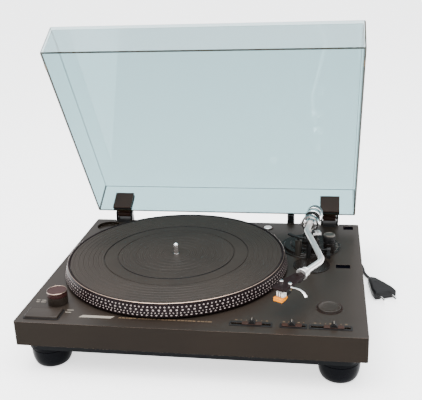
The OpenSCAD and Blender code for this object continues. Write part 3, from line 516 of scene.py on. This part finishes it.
# ---------------------------------------------------------------- tonearm base
rings = [(0.5, 0), (46.5, 0), (46.5, 0.9), (46.0, 1.4), (40.9, 1.4), (40.3, 2.0), (40.3, 3.9), (39.6, 4.6),
         (30.8, 4.6), (30, 5.4), (30, 6.3), (29.3, 7), (14.8, 7), (14, 7.8), (14, 12.2), (13.2, 13),
         (11.6, 13), (11, 13.6), (11, 21.4), (10.4, 22), (3.1, 22), (3.1, 5)]
rest_plate = lathe([(0.5, 0), (27, 0), (27, 0.8), (26.6, 1.2), (0.5, 1.2)], 96)
skate_post = lathe([(2.1, 17.4), (7.9, 17.4), (8.5, 16.8), (8.5, 0), (2.1, 0)], 48)
v, f = fuse(lathe(rings, 120, closed=False), moved(rest_plate, Matrix.Translation((4, -70, 0))),
            box(3, 13, -38.5, -31.5, 1, 14), moved(skate_post, Matrix.Translation((29, -21, 0))))
piece("tonearm_base_rings", v, f, "gloss", "root", ARM_BASE, "black_gloss", hides=("tonearm_base",))
# Engraved height scale round the base: fine pale ticks
ticks = []
for k in range(23):
    a = radians(-62 + 5 * k)
    long = 4.2 if k % 4 == 0 else 2.4
    ticks.append(moved(box(41.0, 41.0 + long, -0.18, 0.18, 1.38, 1.46), Matrix.Rotation(a, 4, "Z")))
piece("base_scale", *fuse(*ticks), "print", "root", ARM_BASE, "satin_silver")

from_cad("gimbal_yoke", "chrome", "yoke", 0.5, segments=3)
from_cad("pivot_block", "chrome", "arm", 0.6, segments=3)
from_cad("rear_stub", "satin", "arm", 0.4)

# ---------------------------------------------------------------- S-shaped tube
TUBE_R, BEND_R = 4.2, 30
sa, ha = radians(ARM_TURN), radians(HEAD_TURN)
along_arm, along_head = Vector((-sin(sa), -cos(sa), 0)), Vector((-sin(ha), -cos(ha), 0))
pivot, tip = Vector((*ARM_PIVOT, ARM_H)), Vector((*HEAD_AT, ARM_H))
corner = [pivot + 6.5 * along_arm, Vector((143.7, 56.2, ARM_H)), Vector((167.6, -49.4, ARM_H)),
          tip - 46 * along_head]
path = [pivot, corner[0]] + bend(corner[0], corner[1], corner[2], BEND_R, 12)
path += bend(corner[1], corner[2], corner[3], BEND_R, 24)
path += [corner[3] + 10 * (corner[2] - corner[3]).normalized(), corner[3]]
piece("s_tube", *sweep(path, TUBE_R, 32), "satin", "arm", slot="satin_silver", hides=("arm_tube",))

# Locking collar: a flanged ring with a knurled band, along the headshell's line
knurl = []
for k in range(40):
    a = 2 * pi * k / 40
    knurl.append(moved(box(5.8, 6.38, -0.22, 0.22, 50.4, 55.8), Matrix.Rotation(a, 4, "Z")))
ring = lathe([(4.3, 46.2), (7.5, 46.2), (8, 46.7), (8, 48.9), (7.5, 49.4), (6.0, 49.6), (6.0, 56.4),
              (6.3, 56.8), (6.3, 57.6), (5.9, 58), (4.3, 58)], 64)
v, f = moved(fuse(ring, *knurl), Y_UP)
piece("knurled_collar", v, f, "satin", "collar", HEAD_FRAME, "satin_silver", hides=("lock_collar",))


# Headshell: a flat tapered shell, deeper towards its round neck
def shell_ring(y, w, z0, z1, c=0.9):
    """A cross section with its corners cut by c, w to each side."""
    return [(-w + c, y, z0), (w - c, y, z0), (w, y, z0 + c), (w, y, z1 - c), (w - c, y, z1), (-w + c, y, z1),
            (-w, y, z1 - c), (-w, y, z0 + c)]


body = loft([shell_ring(-9, 7.6, -0.2, 2.4), shell_ring(-8.2, 8.6, -0.5, 2.9), shell_ring(-6, 10, -0.5, 3),
             shell_ring(0, 10, -0.5, 3), shell_ring(15, 10, -0.5, 3), shell_ring(25, 8.9, -0.6, 3),
             shell_ring(28, 8.5, -2.4, 3), shell_ring(31, 8.2, -3.9, 3), shell_ring(38, 7.7, -4, 3),
             shell_ring(43, 7.3, -2.4, 3), shell_ring(44, 6.6, -1.4, 2.4)])
neck = moved(lathe([(0.01, 36), (4, 36), (4, 45.2), (3.6, 46), (0.01, 46)], 48, closed=False), Y_UP)
v, f = fuse(body, neck)
piece("headshell_body", v, f, "shell", "arm", HEAD_FRAME, "black_gloss", hides=("headshell",), bevel=0.25)
SCREW_X = 6.35             # half of the usual half-inch spacing
screw = lathe([(0.01, -5), (1.25, -5), (1.25, 3), (2.6, 3), (2.6, 4.5), (2.1, 5.2), (0.01, 5.2)], 32,
              closed=False)
screws = [moved(screw, Matrix.Translation((x, 9.5, 0))) for x in (-SCREW_X, SCREW_X)]
piece("shell_screws", *fuse(*screws), "chrome", "arm", HEAD_FRAME, "chrome", hides=("headshell_screws",))
cuts = [box(x - 2.2, x + 2.2, 9.2, 9.8, 5.15, 5.24) for x in (-SCREW_X, SCREW_X)]
piece("shell_screw_slots", *fuse(*cuts), "black", "arm", HEAD_FRAME, "black_plastic")

# Cartridge: a flanged top and dark rear, a white front with three ribs, terminal pins and wires behind
v, f = fuse(box(-9, 9, -2, 14, -3.4, -0.5), box(-5.1, 5.1, 3.5, 14, -11.4, -3.4))
piece("cartridge_rear", v, f, "black", "arm", HEAD_FRAME, "black_plastic", bevel=0.3, hides=("cartridge",))
ribs = [box(x - 1.1, x + 1.1, -5, -4.1, -10.9, -4.0) for x in (-3.4, 0, 3.4)]
v, f = fuse(box(-5.2, 5.2, -4.2, 3.5, -11.4, -3.4), *ribs)
piece("cartridge_body", v, f, "white", "arm", HEAD_FRAME, "white_plastic", bevel=0.3)
gaps = [box(x - 0.5, x + 0.5, -4.5, -4.1, -10.6, -4.3) for x in (-1.7, 1.7)]
piece("cartridge_gaps", *fuse(*gaps), "black", "arm", HEAD_FRAME, "black_plastic")
pins = [moved(lathe([(0.01, 0), (0.6, 0), (0.6, 4), (0.01, 4.3)], 16, closed=False),
              Matrix.Translation((x, 13.5, z)) @ Y_UP) for x in (-3, 3) for z in (-9, -5.6)]
piece("cartridge_pins", *fuse(*pins), "brass", "arm", HEAD_FRAME, "brass")
wires = []
for x, z in ((-3, -9), (3, -9), (-3, -5.6), (3, -5.6)):
    line = smooth([(x, 17.2, z), (x * 1.2, 21, z - 0.6), (x, 25, -4.6), (x * 0.7, 28.5, -3.2)], 5)
    wires.append(sweep(line, 0.5, 8))
piece("cartridge_wires", *fuse(*wires), "cord", "arm", HEAD_FRAME, "cord_black")

# Stylus holder: an orange wedge with a rib on each side and the cantilever under it
side = [(-9.5, -15.6), (-9.0, -16.2), (0, -15.8), (4, -14.0), (4, -11.5), (-4.9, -11.5), (-5.2, -10.9),
        (-9.5, -10.9)]
wedge = loft([[(x, y, z) for y, z in side] for x in (-6.2, 6.2)])
v, f = fuse(wedge, box(-6.6, -6.2, -9.2, -1, -15.2, -11.8), box(6.2, 6.6, -9.2, -1, -15.2, -11.8),
            sweep([(0, 2.6, -15.0), (0, 0.9, -17.0)], [0.55, 0.35], 12))
piece("stylus_holder", v, f, "orange", "arm", HEAD_FRAME, "orange_plastic", bevel=0.5, hides=("stylus",))

# Finger lift: a flattened curved strip
ribbon = smooth([(8.6, 6, 1), (13, 6, 1.2), (18, 5.4, 2), (24, 4, 2.6), (30, 1.8, 2.2), (35, -0.8, 0.6),
                 (37.6, -2.6, -1)], 6)
rings = []
for i, p in enumerate(ribbon):
    t = (ribbon[min(i + 1, len(ribbon) - 1)] - ribbon[max(i - 1, 0)]).normalized()
    n = Vector((0, 0, 1)) - t.z * t
    n.normalize()
    b = t.cross(n)
    s = i / (len(ribbon) - 1)
    w, h = 1.1 + 0.9 * s, 1.05 - 0.45 * s
    if i == len(ribbon) - 1:
        w, h = w * 0.7, h * 0.7
    rings.append([tuple(p + w * cos(2 * pi * k / 16) * b + h * sin(2 * pi * k / 16) * n) for k in range(16)])
piece("finger_strip", *loft(rings), "satin", "arm", HEAD_FRAME, "satin_silver", hides=("finger_lift",),
      angle=60)


# ---------------------------------------------------------------- counterweight and force dial
def knurled(r0, r1, z0, z1, teeth, chamfer=0.7):
    """A knurled barrel with chamfered ends, along Z."""
    rings = []
    for z, k in ((z0, r1 - chamfer), (z0 + chamfer, None), (z1 - chamfer, None), (z1, r1 - chamfer)):
        ring = []
        for i in range(teeth * 4):
            rr = r1 if i % 4 in (1, 2) else r0
            if k is not None:
                rr = min(rr, k)
            a = 2 * pi * i / (teeth * 4)
            ring.append((rr * cos(a), rr * sin(a), z))
        rings.append(ring)
    return loft(rings, cap=False)


front = lathe([(6.06, 17), (7.6, 17), (8, 17.4), (8, 22), (11.8, 22), (12.8, 23), (13, 23.6), (13, 33.4),
               (12.7, 33.8), (12.2, 34.0), (12.2, 34.8), (12.7, 35), (13, 35.4), (13, 37), (12.2, 37.4),
               (6.06, 37.4)], 96)
piece("weight_front", *moved(front, Y_UP), "chrome", "weight", ARM_FRAME, "chrome",
      hides=("counterweight",))
back = fuse(knurled(12.3, 12.9, 37.4, 45.5, 60),
            lathe([(6.06, 45.2), (11.8, 45.2), (11.8, 49.4), (11.2, 50), (6.06, 50)], 72),
            lathe([(6.06, 37.4), (12.1, 37.4), (12.1, 45.4), (6.06, 45.4)], 72))
piece("weight_rear", *moved(back, Y_UP), "steel", "weight", ARM_FRAME, "motor_steel")
dial = lathe([(8.06, 17.2), (10.2, 17.2), (11.8, 19.6), (12, 20.2), (12, 21.2), (11.6, 21.6),
              (8.06, 21.6)], 96)
piece("dial_ring", *moved(dial, Y_UP), "black", "dial", ARM_FRAME, "black_gloss", hides=("force_dial",))
DIAL_TICKS, TICK_R = 24, 10.4
onto_cone = (Matrix.Translation((0, 0, 17.6)) @ Matrix.Translation((TICK_R, 0, 0))
             @ Matrix.Rotation(radians(-56), 4, "Y") @ Matrix.Translation((-TICK_R, 0, 0)))
marks = []
for k in range(DIAL_TICKS):
    tick = box(TICK_R, 11.9 if k % 4 == 0 else 11.3, -0.14, 0.14, -0.05, 0.05)
    marks.append(moved(tick, Matrix.Rotation(2 * pi * k / DIAL_TICKS, 4, "Z") @ onto_cone))
piece("dial_marks", *moved(fuse(*marks), Y_UP), "print", "dial", ARM_FRAME, "satin_silver")

# ---------------------------------------------------------------- anti-skate knob, cueing, arm rest
barrel = fuse(knurled(8.6, 9, 17.8, 28, 36),
              lathe([(0.01, 9), (2, 9), (2, 18), (8.4, 18), (8.4, 27.9), (0.01, 27.9)], 48, closed=False))
piece("skate_barrel", *barrel, "black", "skate_knob", at(*SKATE_AT, 0), "black_gloss",
      hides=("anti_skate_knob",))
cap = lathe([(0.01, 27.6), (8.3, 27.6), (8.3, 29.6), (7.6, 30.4), (7.0, 30.5), (6.6, 30.1), (0.01, 30.0)],
            64, closed=False)
piece("skate_cap", *cap, "dull", "skate_knob", at(*SKATE_AT, 0), "satin_silver")
from_cad("lift_platform", "black", "lift", 0.4)
from_cad("cue_lever", "black", "cue", 0.5)
from_cad("arm_rest", "black", "root", 0.5)
from_cad("arm_clip", "satin", "clip", 0.3)

# ---------------------------------------------------------------- strobe tower and power knob
from_cad("strobe_tower", "plinth", "root", 0.4)
knob = fuse(lathe([(0.01, -10.5), (3, -10.5), (3, 11.5), (0.01, 11.5)], 32, closed=False),
            lathe([(0.01, 11.4), (13.0, 11.4), (13.5, 11.9), (13.5, 18.2), (12.9, 18.9), (11.9, 18.9),
                   (11.6, 18.6), (0.01, 18.5)], 96, closed=False))
piece("power_cap", *knob, "knob", "power", at(*KNOB_AT, 0), "plinth_paint", hides=("power_knob",))
ring = lathe([(12.9, 17.9), (13.55, 17.9), (13.6, 18.3), (13.5, 18.9), (13.2, 19.1), (12.9, 18.9)], 96)
piece("power_ring", *ring, "lip", "power", at(*KNOB_AT, 0), "satin_silver")

# ---------------------------------------------------------------- buttons and sliders
start = loft([rounded(45, 24, 2, -4), rounded(45, 24, 2, 2.7), rounded(44.4, 23.4, 1.9, 3.2),
              rounded(43.2, 22.2, 1.6, 3.5), rounded(40, 19, 1.2, 3.1)])
v, f = fuse(start, box(-5, 5, -3, 3, -13, -3.9))
piece("start_cap", v, f, "plinth", "start", at(*START_AT, 0), "plinth_paint", hides=("start_button",),
      angle=50)
dish = [(15, -4), (15, 1.9), (14.6, 2.4), (14, 2.6), (13.2, 2.4), (12.6, 1.9), (8, 1.55), (0.01, 1.5)]
v, f = fuse(lathe(dish, 96, closed=False), box(-4, 4, -3, 3, -13, -3.9))
piece("stop_cap", v, f, "plinth", "stop", at(*STOP_AT, 0), "plinth_paint", hides=("stop_button",), angle=50)
from_cad("control_bezels", "black", "root", 0.25)
ring = lathe([(15.5, 0.2), (17.2, 0.2), (17.2, 0.8), (16.8, 1.0), (15.9, 1.0), (15.5, 0.7)], 96)
piece("stop_rim", *ring, "hinge", "root", at(*STOP_AT, 0), "hinge_brown")


def slider(name, x, node):
    """A slider: its carriage, its stepped grip and the line on top; it rides the body of its name."""
    where = at(x, SLIDER_Y, 0)
    plate = loft([rounded(25, 7.2, 0.8, 1.1, 3), rounded(25, 7.2, 0.8, 1.8, 3),
                  rounded(24.4, 6.6, 0.6, 2.1, 3)])
    grip = [(-4.6, 1.9), (4.6, 1.9), (4.2, 3.4), (3.2, 3.9), (3.0, 4.9), (2.1, 5.4), (1.9, 6.4), (0.9, 7.2),
            (0.8, 8), (-0.8, 8), (-0.9, 7.2), (-1.9, 6.4), (-2.1, 5.4), (-3.0, 4.9), (-3.2, 3.9), (-4.2, 3.4)]
    knob = loft([[(px, y, pz) for px, pz in grip] for y in (-3.3, 3.3)])
    stem = box(-1.5, 1.5, -1.4, 1.4, -6, 1.2)
    piece(name + "_carriage", *fuse(plate, stem), "hinge", name, where, "black_plastic", bevel=0.1,
          hides=(node,))
    piece(name + "_grip", *knob, "black", name, where, "black_plastic", bevel=0.25)
    piece(name + "_line", *box(-0.3, 0.3, -3.34, 3.34, 7.95, 8.03), "print", name, where, "satin_silver")


slider("pitch_33", 82.5, "pitch_slider_33")
slider("speed", 132, "speed_slider")
slider("pitch_45", 183.5, "pitch_slider_45")


# ---------------------------------------------------------------- printed marks: plain bars and ticks
def bars(name, items, m="print", h=0.06):
    """Printed bars, each (x, y, width, depth) about its middle."""
    parts = [box(x - w / 2, x + w / 2, y - d / 2, y + d / 2, 0.0, h) for x, y, w, d in items]
    piece(name, *fuse(*parts), m, "root", slot="satin_silver")


marks = []
for mid, span in ((81, 54), (134, 34), (179.5, 53)):
    n = 7 if span > 40 else 5
    for k in range(n):
        x = mid - span * 0.36 + span * 0.72 * k / (n - 1)
        marks.append((x, -152.0, 2.8 if k % 3 == 0 else 1.1, 1.7))
bars("slider_marks", marks, "amber")
bars("tower_marks", [(-214, -122, 5, 1.6), (-206, -122, 6, 1.6), (-213, -127, 4.5, 1.6),
                     (-205, -127, 7, 1.6), (-160, -146, 9, 1.5), (-161, -152, 8, 1.5)])
v = [(-143, -163.5, 0.0), (-100, -163.5, 0.0), (-96, -157.5, 0.0), (-139, -157.5, 0.0)]
v += [(x, y, 0.07) for x, y, z in v]
piece("front_badge", v, [(0, 3, 2, 1), (4, 5, 6, 7), (0, 1, 5, 4), (1, 2, 6, 5), (2, 3, 7, 6), (3, 0, 4, 7)],
      "print", "root", slot="satin_silver")
words = []
x = -90
for k in range(24):
    w = (3.2, 4.6, 2.2, 5.4, 3.8)[k % 5]
    words.append((x + w / 2, -160.5, w, 2.2))
    x += w + (2.6 if k % 5 == 4 else 1.0)
bars("front_line", words, "amber")

# ---------------------------------------------------------------- pop-up light, and painted shade in two slots
lamp = lathe([(0.01, -28), (6.7, -28), (6.7, 1.4), (6.1, 2), (0.01, 2)], 64, closed=False)
piece("light_tube", *lamp, "satin", "light", at(*LIGHT_AT, 0), "satin_silver", hides=("stylus_light",))
ring = lathe([(6.85, 0), (9.0, 0), (9.0, 0.7), (8.5, 1.1), (7.2, 1.1), (6.85, 0.7)], 64)
piece("light_rim", *ring, "hinge", "root", at(*LIGHT_AT, 0), "hinge_brown")
# Near-black matte plates laid in the two slots: painted shade for their depth.
v, f = fuse(*[loft([rounded(w, d, 1.2, -0.78, 4, x, y), rounded(w, d, 1.2, -0.4, 4, x, y)])
              for x, y, w, d in ((208, 167, 15.8, 13.8), (197.5, 17, 20.8, 11.8))])
piece("slot_shade_plates", v, f, "void", "root", slot="black_gloss")

# ---------------------------------------------------------------- rear
from_cad("headshell_holder", "black", "root", 0.4)
from_cad("rear_panel", "black", "root", 0.2)
relief = [(0.01, -5), (6.6, -5), (7, -4.6), (7, -3.2), (5, -3.2), (5, 0), (6.6, 0), (7, 0.5), (7, 1.6),
          (6.4, 2.2)]
for k in range(7):
    z, rr = 3 + 3.4 * k, 6.1 - 0.38 * k
    relief += [(rr, z), (rr, z + 1.9), (rr - 0.9, z + 2.2), (rr - 0.95, z + 3.1)]
relief += [(3.45, 27), (3.2, 28), (0.01, 28)]
piece("ribbed_relief", *moved(lathe(relief, 40, closed=False), Y_UP), "cord", "root", at(150, 183, -20),
      "cord_black", hides=("cord_relief",))

# ---------------------------------------------------------------- hinges and cover
from_cad("hinge_bases", "black", "root", 0.5)
from_cad("hinge_arms", "hinge", "cover", 0.7, segments=3)
CLOSED = COVER.inverted().to_3x3().normalized()


def sheet(normal, centre):
    """The cover's faces: 2 for its corners and cut rim, painted dark as shade; 1 for its front wall, painted
    paler as a reflection; 0 for the rest.
    """
    n, c = CLOSED @ normal, COVER.inverted() @ centre
    if max(abs(n.x), abs(n.y), abs(n.z)) < 0.99 or n.z < -0.9 and c.z < 5:
        return 2
    return 1 if abs(n.y) > 0.9 and c.y < -165 else 0


shell = from_cad("dust_cover", ["cover", "clear", "edge"], "cover", 0.8, pick=sheet)
# The bevels take the dark edge colour too: painted shade.
shell.modifiers["bevel"].material = 2
from_cad("cover_bumpers", "pad", "cover", 0.3)

# ---------------------------------------------------------------- floor and light
FLOOR_HALF, FLOOR_Z = 30, -0.0005
floor = bpy.data.meshes.new("floor")
corners = [(FLOOR_HALF * sx, FLOOR_HALF * sy, FLOOR_Z) for sx, sy in ((-1, -1), (1, -1), (1, 1), (-1, 1))]
floor.from_pydata(corners, [], [(0, 1, 2, 3)])
floor_plane = bpy.data.objects.new("floor", floor)
scene.collection.objects.link(floor_plane)
floor.materials.append(material("floor", (0.96, 0.96, 0.96), 0.9, vary=0.01, bump=0, spec=0.2, emit=1.55))
floor_plane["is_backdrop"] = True
world = bpy.data.worlds.new("studio")
scene.world = world
world.use_nodes = True
nt = world.node_tree
bg = nt.nodes["Background"]
bg.inputs["Color"].default_value = (0.97, 0.98, 1.0, 1)
coord = nt.nodes.new("ShaderNodeTexCoord")
split = nt.nodes.new("ShaderNodeSeparateXYZ")
rise = nt.nodes.new("ShaderNodeMapRange")         # a dim horizon under a bright ceiling
rise.inputs["From Min"].default_value, rise.inputs["From Max"].default_value = 0.25, 0.8
rise.inputs["To Min"].default_value, rise.inputs["To Max"].default_value = 0.45, 3.4
nt.links.new(coord.outputs["Generated"], split.inputs[0])
nt.links.new(split.outputs["Z"], rise.inputs["Value"])
nt.links.new(rise.outputs["Result"], bg.inputs["Strength"])


def area(name, place, size, power, colour=(1, 1, 1)):
    """A soft rectangular lamp aimed at the player's middle."""
    d = bpy.data.lights.new(name, "AREA")
    d.shape, d.size, d.size_y, d.energy, d.color = "RECTANGLE", size[0], size[1], power, colour
    o = bpy.data.objects.new(name, d)
    scene.collection.objects.link(o)
    o.location = place
    o.rotation_mode = "QUATERNION"
    o.rotation_quaternion = (Vector(MIDDLE) - Vector(place)).to_track_quat("-Z", "Y")


MIDDLE = (0, 0, 0.1)
area("key", (-0.7, -0.9, 1.9), (1.2, 1.2), 22, (1, 0.95, 0.90))
area("fill", (1.6, -0.9, 1.2), (1.2, 1.0), 7, (0.90, 0.95, 1))
area("top", (0.0, -0.2, 1.8), (1.6, 1.0), 34)

lo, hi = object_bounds()
